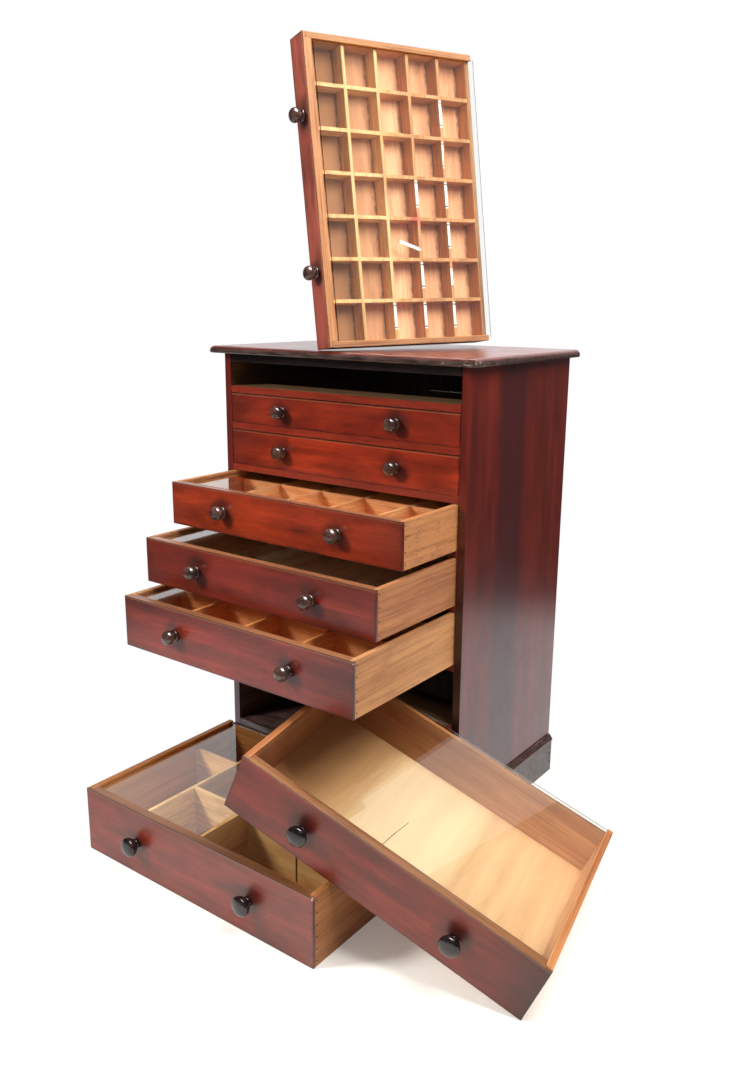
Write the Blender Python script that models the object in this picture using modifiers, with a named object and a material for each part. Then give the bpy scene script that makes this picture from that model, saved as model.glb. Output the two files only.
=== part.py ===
"""Collectors cabinet with eight glazed drawers, in metres, +Z up, front towards -Y.

Drawers 2 to 6 stand in the carcase, three of them pulled out. Drawer 8 lies on the floor in front,
drawer 7 leans on it, and drawer 1 stands on its side on the top board.
"""

from math import asin, atan2, cos, hypot, pi, radians, sin

import bmesh
import bpy
from mathutils import Matrix, Vector

# Clearances
GAP = 0.0003
DRAWER_SIDE_CLEARANCE = 0.0006
DRAWER_TOP_CLEARANCE = 0.0009
DRAWER_STOP_CLEARANCE = 0.003
GLASS_CLEARANCE = 0.0003
MITRE_CLEARANCE = 0.00045
CUT_MARGIN = 0.002

# Carcase
CARCASE_WIDTH = 0.440
CARCASE_DEPTH = 0.289
SIDE_THICKNESS = 0.012
BACK_THICKNESS = 0.006
BACK_DROP = 0.012
BOTTOM_THICKNESS = 0.012
BOTTOM_TOP = 0.0745
RAIL_THICKNESS = 0.010
RAIL_DEPTH = 0.060
TOP_RAIL_THICKNESS = 0.012
RUNNER_WIDTH = 0.014

# Opening heights from the top drawer to the bottom one
OPENING_HEIGHTS = (0.037, 0.046, 0.055, 0.064, 0.067, 0.076, 0.083, 0.095)

# Top board
TOP_THICKNESS = 0.011
TOP_OVERHANG = 0.0157
TOP_ROUND = 0.0072
TOP_UNDER_ROUND = 0.0028
ROUND_SEGMENT_COUNT = 5
CIRCULAR_PROFILE = 0.5

# Plinth
PLINTH_HEIGHT = 0.063
PLINTH_THICKNESS = 0.006
PLINTH_NOSE = 0.0012
PLINTH_NOSE_HEIGHT = 0.003
PLINTH_MOULDING_HEIGHT = 0.0115
PLINTH_TOP_LAND = 0.002

# Drawers
FRONT_THICKNESS = 0.013
FRONT_LAP = 0.004
DRAWER_SIDE_THICKNESS = 0.008
DRAWER_SIDE_INSET = 0.0005
DRAWER_BACK_THICKNESS = 0.007
DRAWER_BOTTOM_THICKNESS = 0.005
GLASS_THICKNESS = 0.002
GROOVE_DEPTH = 0.003
GLASS_DOWN = 0.0045
DIVIDER_THICKNESS = 0.005

# Knobs
KNOB_SIDE_COUNT = 20
DOME_STEP_COUNT = 5
UNDERSIDE_STEP_COUNT = 3
MERGE_DISTANCE = 0.00001
LARGE_KNOB_DRAWERS = (7, 8)
SMALL_HEAD_RADIUS = 0.0100
SMALL_DOME = 0.0078
SMALL_UNDERSIDE = 0.0062
SMALL_NECK_RADIUS = 0.0054
SMALL_NECK_LENGTH = 0.0020
SMALL_COLLAR_RADIUS = 0.0086
LARGE_HEAD_RADIUS = 0.0130
LARGE_DOME = 0.0048
LARGE_UNDERSIDE = 0.0094
LARGE_NECK_RADIUS = 0.0060
LARGE_NECK_LENGTH = 0.0012
LARGE_COLLAR_RADIUS = 0.0068
COLLAR_THICKNESS = 0.0044

# Where the drawers rest
PULL_OUT_4 = 0.1275
PULL_OUT_5 = 0.1806
PULL_OUT_6 = 0.2244
FLOOR_DRAWER_OFFSET = 0.019
FLOOR_DRAWER_DISTANCE = 0.043
LEANING_FOOT_OUT = 0.232
LEANING_FOOT_BACK = 0.075
LEANING_TURN = radians(11.2)
LEANING_PITCH = radians(2.9)
STANDING_FOOT_SIDE = 0.0246
STANDING_FOOT_FRONT = 0.0106
STANDING_TURN = radians(68.8)
STANDING_LEAN = radians(8.2)
STANDING_ROCK = radians(1.1)
GLASS_SLID_OUT_1 = 0.008
GLASS_SLID_OUT_7 = 0.004

# Partitions: columns and rows of cells, or the distance of single strips from the left side and the front
TRAY_1_COLUMN_COUNT = 7
TRAY_1_ROW_COUNT = 5
TRAY_4_COLUMN_COUNT = 5
TRAY_4_ROW_COUNT = 2
TRAY_4_LOWERED = 0.0100
TRAY_6_COLUMN_COUNT = 4
TRAY_6_ROW_COUNT = 3
TRAY_6_LOWERED = 0.0040
TRAY_8_STRIPS_FROM_LEFT = (0.108, 0.210)
TRAY_8_STRIP_FROM_FRONT = 0.102
TRAY_8_LEFT_STRIP_FROM_FRONT = 0.198
TRAY_8_LEFT_STRIP_LOWERED = 0.0090

# Planes and sizes that follow from the values above
FRONT_Y = PLINTH_THICKNESS / 2 + GAP
INNER_HALF = CARCASE_WIDTH / 2 - SIDE_THICKNESS
BACK_Y = FRONT_Y + CARCASE_DEPTH - BACK_THICKNESS
DRAWER_COUNT = len(OPENING_HEIGHTS)
DRAWER_HALF = INNER_HALF - DRAWER_SIDE_CLEARANCE
DRAWER_DEPTH = CARCASE_DEPTH - BACK_THICKNESS - DRAWER_STOP_CLEARANCE
TRAY_HALF = DRAWER_HALF - DRAWER_SIDE_INSET
TRAY_INNER_HALF = TRAY_HALF - DRAWER_SIDE_THICKNESS
TRAY_INNER_BACK = DRAWER_DEPTH - DRAWER_BACK_THICKNESS
SLOT_HEIGHT = GLASS_THICKNESS + 2 * GLASS_CLEARANCE
SLOT_HALF = TRAY_INNER_HALF + GROOVE_DEPTH
KNOB_SPREAD = DRAWER_HALF / 2

for leftover in list(bpy.data.objects):
    bpy.data.objects.remove(leftover)
CABINET = bpy.data.collections.new("collectors_cabinet")
CUTTERS = bpy.data.collections.new("cutters")
for group in (CABINET, CUTTERS):
    bpy.context.scene.collection.children.link(group)


def make_material(name, colour, roughness, transmission=0.0):
    """A Principled material with one colour, given as linear red, green and blue."""
    material = bpy.data.materials.new(name)
    material.use_nodes = True
    shader = material.node_tree.nodes["Principled BSDF"]
    shader.inputs["Base Color"].default_value = (*colour, 1.0)
    shader.inputs["Roughness"].default_value = roughness
    shader.inputs["Metallic"].default_value = 0.0
    shader.inputs["Transmission Weight"].default_value = transmission
    material.diffuse_color = (*colour, 1.0)
    return material


STAINED = make_material("red_stained_wood", (0.195, 0.030, 0.016), 0.30)
BLACKENED = make_material("blackened_moulding", (0.030, 0.018, 0.015), 0.35)
SOFTWOOD = make_material("drawer_softwood", (0.560, 0.330, 0.140), 0.55)
STRIPWOOD = make_material("partition_wood", (0.600, 0.390, 0.180), 0.55)
EBONISED = make_material("ebonised_knob", (0.018, 0.011, 0.009), 0.18)
PANE = make_material("sheet_glass", (0.900, 0.940, 0.920), 0.02, transmission=1.0)


def add_object(name, mesh, location, group, parent=None, material=None):
    """An object in a collection, placed in its parent's frame."""
    item = bpy.data.objects.new(name, mesh)
    item.location = location
    item.parent = parent
    if material:
        mesh.materials.append(material)
    group.objects.link(item)
    return item


def add_box(name, low, high, material=None, parent=None, group=CABINET):
    """A box between two corners, with its origin at its centre."""
    low, high = Vector(low), Vector(high)
    shape = bmesh.new()
    bmesh.ops.create_cube(shape, size=1.0)
    bmesh.ops.scale(shape, vec=high - low, verts=shape.verts)
    mesh = bpy.data.meshes.new(name)
    shape.to_mesh(mesh)
    shape.free()
    return add_object(name, mesh, (low + high) / 2, group, parent, material)


def shape_with_box(target, operation, low, high):
    """Cut a box from a piece, or join one to it, with a Boolean modifier."""
    name = f"{target.name}_{operation.lower()}_{len(target.modifiers) + 1}"
    tool = add_box(name, low, high, parent=target.parent, group=CUTTERS)
    tool.hide_render = True
    tool.display_type = "WIRE"
    modifier = target.modifiers.new(name, "BOOLEAN")
    modifier.operation = operation
    modifier.object = tool


# Openings and rails, stacked from the bottom board up
opening_bottoms = {}
rail_bottoms = {}
level = BOTTOM_TOP
for number in range(DRAWER_COUNT, 0, -1):
    opening_bottoms[number] = level
    level += OPENING_HEIGHTS[number - 1]
    if number > 1:
        rail_bottoms[number - 1] = level
        level += RAIL_THICKNESS
TOP_RAIL_BOTTOM = level
CARCASE_TOP = level + TOP_RAIL_THICKNESS
BOARD_BOTTOM = CARCASE_TOP + GAP
BOARD_TOP = BOARD_BOTTOM + TOP_THICKNESS


def build_side(name, sign):
    """A side board down to the floor, with a runner let in behind each rail."""
    outer = sign * CARCASE_WIDTH / 2
    inner = sign * INNER_HALF
    tip = sign * (INNER_HALF - RUNNER_WIDTH)
    root = sign * (INNER_HALF + SIDE_THICKNESS / 2)
    side = add_box(name, (min(outer, inner), FRONT_Y, 0.0),
                   (max(outer, inner), FRONT_Y + CARCASE_DEPTH, CARCASE_TOP), STAINED)
    for bottom in rail_bottoms.values():
        shape_with_box(side, "UNION", (min(tip, root), FRONT_Y + RAIL_DEPTH + GAP, bottom),
                       (max(tip, root), BACK_Y - GAP, bottom + RAIL_THICKNESS))


build_side("side_left", -1)
build_side("side_right", 1)

between = INNER_HALF - GAP
add_box("bottom_board", (-between, FRONT_Y, BOTTOM_TOP - BOTTOM_THICKNESS),
        (between, BACK_Y - GAP, BOTTOM_TOP), STAINED)
add_box("back_panel", (-between, BACK_Y, BOTTOM_TOP - BOTTOM_THICKNESS - BACK_DROP),
        (between, BACK_Y + BACK_THICKNESS, CARCASE_TOP), SOFTWOOD)
add_box("top_rail", (-between, FRONT_Y, TOP_RAIL_BOTTOM),
        (between, FRONT_Y + RAIL_DEPTH, CARCASE_TOP), BLACKENED)
for number, bottom in rail_bottoms.items():
    add_box(f"rail_{number}", (-between, FRONT_Y, bottom),
            (between, FRONT_Y + RAIL_DEPTH, bottom + RAIL_THICKNESS), STAINED)


def build_top_board():
    """The top board, rounded over on three edges and flush at the back."""
    board = add_box("top_board", (-CARCASE_WIDTH / 2 - TOP_OVERHANG, FRONT_Y - TOP_OVERHANG, BOARD_BOTTOM),
                    (CARCASE_WIDTH / 2 + TOP_OVERHANG, FRONT_Y + CARCASE_DEPTH, BOARD_TOP), STAINED)
    shape = bmesh.new()
    shape.from_mesh(board.data)
    half_depth = max(vert.co.y for vert in shape.verts)
    for side, radius in ((1, TOP_ROUND), (-1, TOP_UNDER_ROUND)):
        edges = [edge for edge in shape.edges
                 if all(vert.co.z * side > TOP_THICKNESS / 2 - GAP for vert in edge.verts)
                 and any(vert.co.y < half_depth - GAP for vert in edge.verts)]
        bmesh.ops.bevel(shape, geom=edges, offset=radius, segments=ROUND_SEGMENT_COUNT,
                        profile=CIRCULAR_PROFILE, affect="EDGES")
    shape.to_mesh(board.data)
    shape.free()


build_top_board()


def plinth_section():
    """The outline of a plinth board's end, as distances out from the carcase and heights."""
    shoulder = PLINTH_HEIGHT - PLINTH_MOULDING_HEIGHT
    nose = PLINTH_THICKNESS + PLINTH_NOSE
    return ((0.0, 0.0), (PLINTH_THICKNESS, 0.0), (PLINTH_THICKNESS, shoulder),
            (nose, shoulder + PLINTH_NOSE), (nose, shoulder + PLINTH_NOSE + PLINTH_NOSE_HEIGHT),
            (PLINTH_TOP_LAND, PLINTH_HEIGHT), (0.0, PLINTH_HEIGHT))


def build_plinth_board(name, length_start, length_end, mitre_start, mitre_end, frame):
    """A moulded board: its section extruded along its length, with the mitred ends drawn out."""
    shape = bmesh.new()
    section = [shape.verts.new((length_start - out * mitre_start, out, height))
               for out, height in plinth_section()]
    sketch = shape.faces.new(section)
    swept = bmesh.ops.extrude_face_region(shape, geom=[sketch])["geom"]
    for vert in (item for item in swept if isinstance(item, bmesh.types.BMVert)):
        vert.co.x = length_end + vert.co.y * mitre_end
    bmesh.ops.transform(shape, matrix=frame, verts=shape.verts)
    bmesh.ops.recalc_face_normals(shape, faces=shape.faces)
    mesh = bpy.data.meshes.new(name)
    shape.to_mesh(mesh)
    shape.free()
    add_object(name, mesh, (0.0, 0.0, 0.0), CABINET, material=BLACKENED)


PLINTH_HALF = CARCASE_WIDTH / 2 + GAP
front_plane = Matrix(((1, 0, 0, 0), (0, -1, 0, FRONT_Y - GAP), (0, 0, 1, 0), (0, 0, 0, 1)))
build_plinth_board("plinth_front", MITRE_CLEARANCE - PLINTH_HALF, PLINTH_HALF - MITRE_CLEARANCE, 1, 1,
                   front_plane)
for name, sign in (("plinth_left", -1), ("plinth_right", 1)):
    side_plane = Matrix(((0, sign, 0, sign * PLINTH_HALF), (1, 0, 0, FRONT_Y - GAP), (0, 0, 1, 0),
                         (0, 0, 0, 1)))
    build_plinth_board(name, 0.0, CARCASE_DEPTH + GAP, 1, 0, side_plane)


def front_height(number):
    """The height of a drawer front, less than its opening by the running clearance."""
    return OPENING_HEIGHTS[number - 1] - GAP - DRAWER_TOP_CLEARANCE


def slot_bottom(number):
    """The height of the glass slot above the drawer's underside."""
    return front_height(number) - GLASS_DOWN - SLOT_HEIGHT


def place_drawer(number, matrix):
    """An empty at the middle of the drawer front's lower edge, which carries the drawer."""
    carrier = bpy.data.objects.new(f"drawer_{number}_carrier", None)
    carrier.empty_display_size = OPENING_HEIGHTS[number - 1]
    carrier.matrix_world = matrix
    CABINET.objects.link(carrier)
    return carrier


def build_front(number, carrier):
    """The front board, rebated at both ends for the sides and grooved for the glass."""
    height = front_height(number)
    front = add_box(f"front_{number}", (-DRAWER_HALF, 0.0, 0.0), (DRAWER_HALF, FRONT_THICKNESS, height),
                    STAINED, carrier)
    shoulder = TRAY_INNER_HALF - GAP
    beyond = DRAWER_HALF + CUT_MARGIN
    for start, end in ((-beyond, -shoulder), (shoulder, beyond)):
        shape_with_box(front, "DIFFERENCE", (start, FRONT_LAP, -CUT_MARGIN),
                       (end, FRONT_THICKNESS + CUT_MARGIN, height + CUT_MARGIN))
    bottom = slot_bottom(number)
    shape_with_box(front, "DIFFERENCE", (-beyond, FRONT_THICKNESS - GROOVE_DEPTH, bottom),
                   (beyond, FRONT_THICKNESS + CUT_MARGIN, bottom + SLOT_HEIGHT))


def build_tray(number, carrier):
    """Sides, back and bottom as one glued tray, with the slot that the glass slides in from behind."""
    height = front_height(number)
    bottom = slot_bottom(number)
    start = FRONT_LAP + GAP
    before = start - CUT_MARGIN
    after = DRAWER_DEPTH + CUT_MARGIN
    above = height + CUT_MARGIN
    tray = add_box(f"tray_{number}", (-TRAY_HALF, start, 0.0), (TRAY_HALF, DRAWER_DEPTH, height),
                   SOFTWOOD, carrier)
    shape_with_box(tray, "DIFFERENCE", (-TRAY_INNER_HALF, before, DRAWER_BOTTOM_THICKNESS),
                   (TRAY_INNER_HALF, TRAY_INNER_BACK, above))
    shape_with_box(tray, "DIFFERENCE", (-TRAY_INNER_HALF, before, -CUT_MARGIN),
                   (TRAY_INNER_HALF, FRONT_THICKNESS + GAP, above))
    shape_with_box(tray, "DIFFERENCE", (-SLOT_HALF, before, bottom), (SLOT_HALF, after, bottom + SLOT_HEIGHT))
    shape_with_box(tray, "DIFFERENCE", (-TRAY_INNER_HALF, TRAY_INNER_BACK - CUT_MARGIN, bottom),
                   (TRAY_INNER_HALF, after, above))


def build_glass(number, carrier, slid_out):
    """The sliding pane, held in the grooves on three sides."""
    half = SLOT_HALF - GLASS_CLEARANCE
    front_edge = FRONT_THICKNESS - GROOVE_DEPTH + GLASS_CLEARANCE + slid_out
    bottom = slot_bottom(number) + GLASS_CLEARANCE
    add_box(f"glass_{number}", (-half, front_edge, bottom),
            (half, DRAWER_DEPTH + slid_out, bottom + GLASS_THICKNESS), PANE, carrier)


def build_partitions(number, carrier, from_left, from_front, lowered=0.0, left_end=GAP - TRAY_INNER_HALF):
    """Strips halved into one another: the first runs lengthwise, and the others are joined to it."""
    half = TRAY_INNER_HALF - GAP
    near = FRONT_THICKNESS + GAP
    far = TRAY_INNER_BACK - GAP
    low = DRAWER_BOTTOM_THICKNESS + GAP
    top = slot_bottom(number) - lowered
    strips = [((left_end, y - DIVIDER_THICKNESS / 2, low), (half, y + DIVIDER_THICKNESS / 2, top))
              for y in from_front]
    across = [((x - DIVIDER_THICKNESS / 2, near, low), (x + DIVIDER_THICKNESS / 2, far, top))
              for x in from_left]
    grid = add_box(f"partitions_{number}", *strips[0], STRIPWOOD, carrier)
    for low_corner, high_corner in across + strips[1:]:
        shape_with_box(grid, "UNION", low_corner, high_corner)
    return grid


def even_lines(start, end, cells):
    """The middles of the strips that divide a length into equal cells."""
    cell = (end - start - (cells - 1) * DIVIDER_THICKNESS) / cells
    return [start + index * (cell + DIVIDER_THICKNESS) - DIVIDER_THICKNESS / 2 for index in range(1, cells)]


def build_even_partitions(number, carrier, columns, rows, lowered=0.0):
    """A grid of equal cells over the whole inside of a drawer."""
    build_partitions(number, carrier, even_lines(-TRAY_INNER_HALF, TRAY_INNER_HALF, columns),
                     even_lines(FRONT_THICKNESS, TRAY_INNER_BACK, rows), lowered)


def knob_outline(head, dome, underside, neck, neck_length, collar):
    """A turned knob's radii and heights, from the middle of its face down to its foot."""
    rim_height = COLLAR_THICKNESS + neck_length + underside
    outline = [(0.0, rim_height + dome)]
    for step in range(1, DOME_STEP_COUNT + 1):
        angle = pi / 2 * (1 - step / DOME_STEP_COUNT)
        outline.append((head * cos(angle), rim_height + dome * sin(angle)))
    for step in range(1, UNDERSIDE_STEP_COUNT + 1):
        angle = pi / 2 * step / UNDERSIDE_STEP_COUNT
        outline.append((neck + (head - neck) * cos(angle), rim_height - underside * sin(angle)))
    outline.append((neck, COLLAR_THICKNESS))
    outline.append((collar, COLLAR_THICKNESS / 2))
    outline.append((collar, 0.0))
    outline.append((0.0, 0.0))
    return outline


def build_knob(name, number, side, carrier):
    """A knob turned about its own axis, seated on the face of the front."""
    if number in LARGE_KNOB_DRAWERS:
        outline = knob_outline(LARGE_HEAD_RADIUS, LARGE_DOME, LARGE_UNDERSIDE, LARGE_NECK_RADIUS,
                               LARGE_NECK_LENGTH, LARGE_COLLAR_RADIUS)
    else:
        outline = knob_outline(SMALL_HEAD_RADIUS, SMALL_DOME, SMALL_UNDERSIDE, SMALL_NECK_RADIUS,
                               SMALL_NECK_LENGTH, SMALL_COLLAR_RADIUS)
    shape = bmesh.new()
    points = [shape.verts.new((radius, 0.0, height)) for radius, height in outline]
    for first, second in zip(points, points[1:]):
        shape.edges.new((first, second))
    mesh = bpy.data.meshes.new(name)
    shape.to_mesh(mesh)
    shape.free()
    seat = (side * KNOB_SPREAD, -GAP, front_height(number) / 2)
    knob = add_object(name, mesh, seat, CABINET, carrier, EBONISED)
    knob.rotation_euler = (pi / 2, 0.0, 0.0)
    turn = knob.modifiers.new("turned", "SCREW")
    turn.axis = "Z"
    turn.steps = KNOB_SIDE_COUNT
    turn.render_steps = KNOB_SIDE_COUNT
    turn.use_merge_vertices = True
    turn.merge_threshold = MERGE_DISTANCE
    turn.use_smooth_shade = True


def in_carcase(number, pull_out):
    """The frame of a drawer on its rail, pulled out towards the front."""
    return Matrix.Translation((0.0, FRONT_Y - pull_out, opening_bottoms[number] + GAP))


FLOOR_DRAWER_FRONT = FRONT_Y - FLOOR_DRAWER_DISTANCE - DRAWER_DEPTH


def leaning_frame():
    """Drawer 7 with its lower right corner on the floor, tilted onto the back right corner of drawer 8."""
    support = Vector((FLOOR_DRAWER_OFFSET + TRAY_HALF, FLOOR_DRAWER_FRONT + DRAWER_DEPTH,
                      front_height(DRAWER_COUNT)))
    foot = Vector((FLOOR_DRAWER_OFFSET + DRAWER_HALF + LEANING_FOOT_OUT,
                   FLOOR_DRAWER_FRONT + LEANING_FOOT_BACK, 0.0))
    turn = Matrix.Rotation(LEANING_TURN, 4, "Z")
    reach = turn.inverted() @ (support - foot)
    across = reach.x * cos(LEANING_PITCH)
    upward = reach.z * cos(LEANING_PITCH)
    tilt = pi - asin((reach.y * sin(LEANING_PITCH) - GAP) / hypot(across, upward)) - atan2(upward, across)
    spin = turn @ Matrix.Rotation(tilt, 4, "Y") @ Matrix.Rotation(LEANING_PITCH, 4, "X")
    return Matrix.Translation(foot) @ spin @ Matrix.Translation((-DRAWER_HALF, 0.0, 0.0))


def standing_frame():
    """Drawer 1 on the lower corner of its right side, turned, leaning and rocked back on the top board."""
    depth = Vector((cos(STANDING_TURN), sin(STANDING_TURN), 0.0))
    level_out = Vector((sin(STANDING_TURN), -cos(STANDING_TURN), 0.0))
    opening = level_out * cos(STANDING_LEAN) + Vector((0.0, 0.0, sin(STANDING_LEAN)))
    width = depth.cross(opening)
    spin = Matrix((width, depth, opening)).transposed().to_4x4() @ Matrix.Rotation(STANDING_ROCK, 4, "Z")
    foot = Vector((-STANDING_FOOT_SIDE, FRONT_Y - STANDING_FOOT_FRONT, BOARD_TOP + GAP))
    return Matrix.Translation(foot) @ spin @ Matrix.Translation((-DRAWER_HALF, 0.0, 0.0))


frames = {
    1: standing_frame(),
    2: in_carcase(2, 0.0),
    3: in_carcase(3, 0.0),
    4: in_carcase(4, PULL_OUT_4),
    5: in_carcase(5, PULL_OUT_5),
    6: in_carcase(6, PULL_OUT_6),
    7: leaning_frame(),
    8: Matrix.Translation((FLOOR_DRAWER_OFFSET, FLOOR_DRAWER_FRONT, 0.0)),
}
glass_slid_out = {1: GLASS_SLID_OUT_1, 7: GLASS_SLID_OUT_7}
carriers = {}
for number, matrix in frames.items():
    carrier = place_drawer(number, matrix)
    carriers[number] = carrier
    build_front(number, carrier)
    build_tray(number, carrier)
    build_glass(number, carrier, glass_slid_out.get(number, 0.0))
    build_knob(f"knob_left_{number}", number, -1, carrier)
    build_knob(f"knob_right_{number}", number, 1, carrier)

build_even_partitions(1, carriers[1], TRAY_1_COLUMN_COUNT, TRAY_1_ROW_COUNT)
build_even_partitions(4, carriers[4], TRAY_4_COLUMN_COUNT, TRAY_4_ROW_COUNT, TRAY_4_LOWERED)
build_even_partitions(6, carriers[6], TRAY_6_COLUMN_COUNT, TRAY_6_ROW_COUNT, TRAY_6_LOWERED)
across_8 = [distance - DRAWER_HALF for distance in TRAY_8_STRIPS_FROM_LEFT]
partitions_8 = build_partitions(8, carriers[8], across_8, [TRAY_8_STRIP_FROM_FRONT], left_end=across_8[0])
shape_with_box(partitions_8, "UNION",
               (GAP - TRAY_INNER_HALF, TRAY_8_LEFT_STRIP_FROM_FRONT - DIVIDER_THICKNESS / 2,
                DRAWER_BOTTOM_THICKNESS + GAP),
               (across_8[0], TRAY_8_LEFT_STRIP_FROM_FRONT + DIVIDER_THICKNESS / 2,
                slot_bottom(8) - TRAY_8_LEFT_STRIP_LOWERED))
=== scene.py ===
from math import cos, pi, radians, sin

import bmesh
import bpy
from mathutils import Matrix, Vector


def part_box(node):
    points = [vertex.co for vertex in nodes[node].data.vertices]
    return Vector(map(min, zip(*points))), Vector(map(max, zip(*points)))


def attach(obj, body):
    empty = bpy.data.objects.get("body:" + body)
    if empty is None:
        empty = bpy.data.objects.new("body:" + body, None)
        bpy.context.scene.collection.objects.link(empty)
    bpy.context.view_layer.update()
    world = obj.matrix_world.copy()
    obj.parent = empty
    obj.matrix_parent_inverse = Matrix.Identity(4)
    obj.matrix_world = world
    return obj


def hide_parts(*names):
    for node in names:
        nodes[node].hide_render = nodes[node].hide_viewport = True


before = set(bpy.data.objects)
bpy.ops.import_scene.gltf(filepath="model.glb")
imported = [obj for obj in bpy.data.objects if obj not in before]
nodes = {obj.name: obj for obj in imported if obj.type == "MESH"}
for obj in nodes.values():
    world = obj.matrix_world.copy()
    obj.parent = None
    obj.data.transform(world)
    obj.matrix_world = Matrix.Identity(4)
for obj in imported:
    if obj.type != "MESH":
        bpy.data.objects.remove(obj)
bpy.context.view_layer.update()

# Studio
# White paper lies on the floor of a dull room and hangs behind the cabinet, and two broad soft lamps light
# it. The camera sees white all round. Varnish and glass also reflect the room beyond the paper, and round
# polished things its bright ceiling panel.
CAMERA_PLACE = (0.84745, -1.0456, 0.76552)
CAMERA_YAW, CAMERA_PITCH, CAMERA_ROLL = 0.6402, 0.2400, 0.0086
CAMERA_LENS, SENSOR_HEIGHT = 31.70, 36.0
CAMERA_SHIFT = (-0.0063, -0.0087)

# Each lamp's place and width in metres, and its power in watts.
LAMPS = {"right_lamp": ((1.15, -0.10, 1.75), 0.9, 42.0), "front_lamp": ((-1.40, -1.90, 1.85), 0.6, 88.0)}
LAMP_AIM = (0.05, -0.05, 0.5)
ROOM_LIGHT = 0.46


def linear(code):
    """A colour's linear red, green, blue and alpha from its sRGB hex code."""
    channels = [int(code[start:start + 2], 16) / 255 for start in (1, 3, 5)]
    return (*(c / 12.92 if c <= 0.04045 else ((c + 0.055) / 1.055) ** 2.4 for c in channels), 1.0)


def add_node(tree, kind, sockets=None, **settings):
    """A shader node with its settings, and with each named or numbered socket set to a value or linked."""
    made = tree.nodes.new("ShaderNode" + kind)
    for setting, value in settings.items():
        setattr(made, setting, value)
    for key, value in (sockets or {}).items():
        named = [socket for socket in made.inputs if socket.enabled and socket.name == key]
        socket = named[0] if named else made.inputs[key]
        if isinstance(value, bpy.types.Node):
            value = next(output for output in value.outputs if output.enabled)
        if isinstance(value, bpy.types.NodeSocket):
            tree.links.new(value, socket)
        else:
            socket.default_value = value
    return made


def add_mesh(name, shape, material):
    """An object in the row frame, made from a bmesh."""
    mesh = bpy.data.meshes.new(name)
    shape.to_mesh(mesh)
    shape.free()
    mesh.materials.append(material)
    made = bpy.data.objects.new(name, mesh)
    bpy.context.scene.collection.objects.link(made)
    return made


def empty_tree(name):
    """A new material and its node tree, cleared."""
    material = bpy.data.materials.new(name)
    material.use_nodes = True
    material.node_tree.nodes.clear()
    return material, material.node_tree


def layered(tree, colour, *layers):
    """A colour with stains, dirt or bare wood laid over it in turn, each layer given as (share, colour)."""
    for share, tint in layers:
        colour = add_node(tree, "Mix", {"Factor": share, "A": colour, "B": tint}, data_type="RGBA")
    return colour


def straight_light(tree, ray):
    """One for light that comes straight through a pane, which counts as glossy too, and else zero."""
    return add_node(tree, "Math", {0: ray.outputs["Glossy Depth"], 1: ray.outputs["Is Transmission Ray"]},
                    operation="LESS_THAN")


camera = bpy.data.objects.new("camera", bpy.data.cameras.new("camera"))
camera.data.sensor_fit = "VERTICAL"
camera.data.sensor_height = SENSOR_HEIGHT
camera.data.lens = CAMERA_LENS
camera.data.shift_x, camera.data.shift_y = CAMERA_SHIFT
camera.matrix_world = (Matrix.Translation(CAMERA_PLACE) @ Matrix.Rotation(CAMERA_YAW, 4, "Z")
                       @ Matrix.Rotation(pi / 2 - CAMERA_PITCH, 4, "X")
                       @ Matrix.Rotation(CAMERA_ROLL, 4, "Z"))
bpy.context.scene.collection.objects.link(camera)
bpy.context.scene.camera = camera
bpy.context.scene.view_settings.view_transform = "Standard"

for name, (spot, size, power) in LAMPS.items():
    lamp = bpy.data.objects.new(name, bpy.data.lights.new(name, "AREA"))
    lamp.data.size = size
    lamp.data.energy = power
    lamp.location = spot
    lamp.rotation_euler = (Vector(LAMP_AIM) - Vector(spot)).to_track_quat("-Z", "Y").to_euler()
    lamp.visible_glossy = lamp.visible_transmission = False
    bpy.context.scene.collection.objects.link(lamp)

WHITE, ROOM_TINT = linear("#FFFFFF"), linear("#FFFDFA")
world = bpy.data.worlds.new("pale_room")
world.use_nodes = True
tree = world.node_tree
tree.nodes.clear()
ray = add_node(tree, "LightPath")
seen = add_node(tree, "Math", {0: ray.outputs["Is Camera Ray"], 1: ray.outputs["Is Transmission Ray"]},
                operation="MAXIMUM")
seen = add_node(tree, "Math", {0: seen, 1: ray.outputs["Is Glossy Ray"]}, operation="MAXIMUM")
light = add_node(tree, "Background", {"Color": ROOM_TINT, "Strength": ROOM_LIGHT})
white = add_node(tree, "Background", {"Color": WHITE, "Strength": 1.0})
sky = add_node(tree, "MixShader", {0: seen, 1: light, 2: white})
add_node(tree, "OutputWorld", {"Surface": sky})
bpy.context.scene.world = world

# Matt white paper: the camera sees it lit to white, with soft grey shadows. Past its edge the floor is dull
# grey board. Straight through a pane the paper shows white, and only mirrored light shows the board.
FLOOR_SIZE, FLOOR_BELOW, FIBRES_PER_METRE = 24.0, 0.0004, 90.0
PAPER_RADIUS, PAPER_EDGE = 1.06, 0.26
SHADOW_MIDDLE, SHADOW_RADIUS, SHADOW_EDGE, SHADOW_GLOW = (0.26, -0.24, 0.0), 0.27, 0.33, 0.14
SHEET_DEEP, SHEET_PALE = linear("#F4EFE4"), linear("#FBF8F0")
BOARD, MIRRORED_BOARD = linear("#4A4644"), linear("#2A2726")
paper, tree = empty_tree("matt_white_paper")
ray = add_node(tree, "LightPath")
spot = add_node(tree, "TexCoord")
reach = add_node(tree, "VectorMath", {0: spot.outputs["Object"]}, operation="LENGTH")
beyond = add_node(tree, "MapRange", {"Value": reach.outputs["Value"], "From Min": PAPER_RADIUS,
                                     "From Max": PAPER_RADIUS + PAPER_EDGE})
fibres = add_node(tree, "TexNoise", {"Vector": spot.outputs["Object"], "Scale": FIBRES_PER_METRE,
                                     "Detail": 4.0})
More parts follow.
